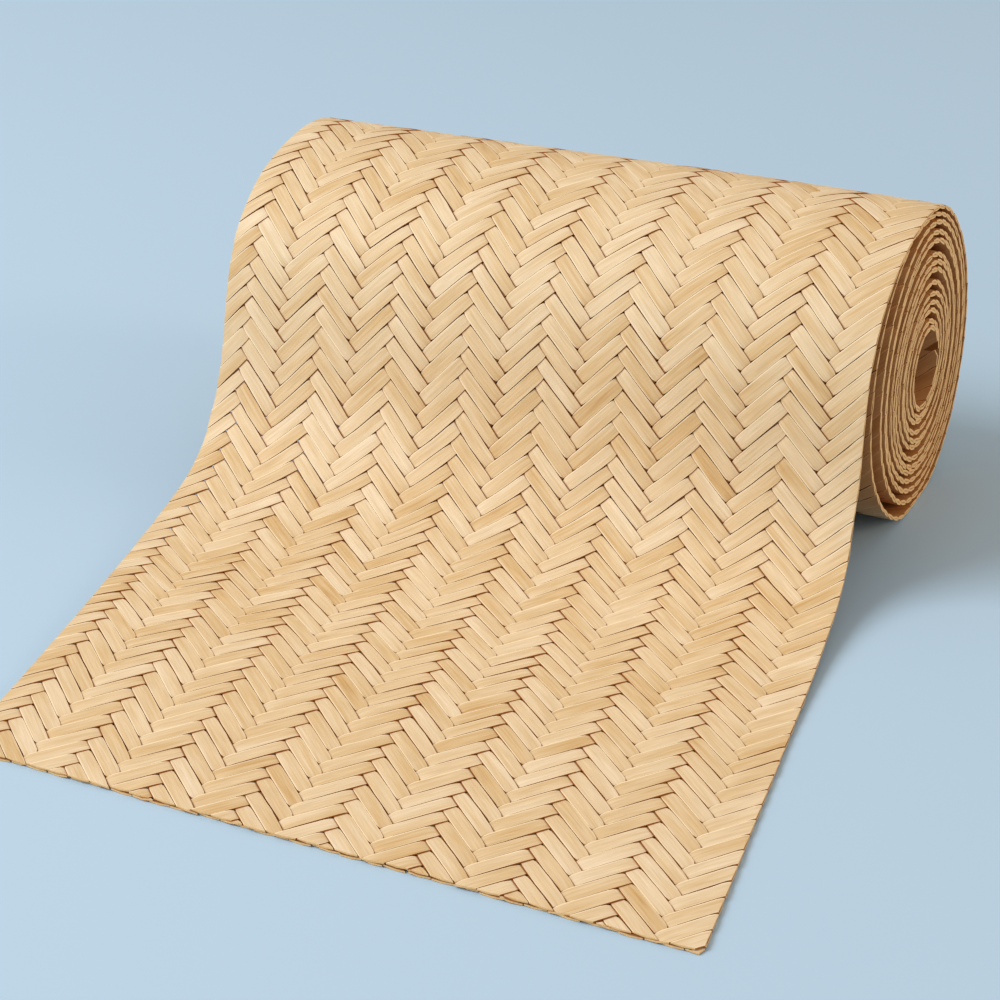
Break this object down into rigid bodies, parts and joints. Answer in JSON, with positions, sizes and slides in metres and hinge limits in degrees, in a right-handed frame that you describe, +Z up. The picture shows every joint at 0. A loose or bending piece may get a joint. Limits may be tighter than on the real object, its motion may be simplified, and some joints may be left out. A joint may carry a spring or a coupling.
{
  "type": "roll of cane webbing",
  "caption": "Roll of herringbone-woven cane webbing, wound on itself with an open core, its outer end pulled off over the top and laid out on the floor.",
  "frame": {"origin": "middle of the footprint, on the floor", "axes": "+X along the roll's axis, to its right-hand end as seen from the pulled-off end; +Y from the cut end back to the roll; +Z up"},
  "size_m": [0.366, 0.4416, 0.1526],
  "materials": {
    "cane": "dry natural cane splint, unvarnished, slightly silky"
  },
  "bodies": {
    "root": {"woven_sheet": "cane"}
  },
  "joints": []
}
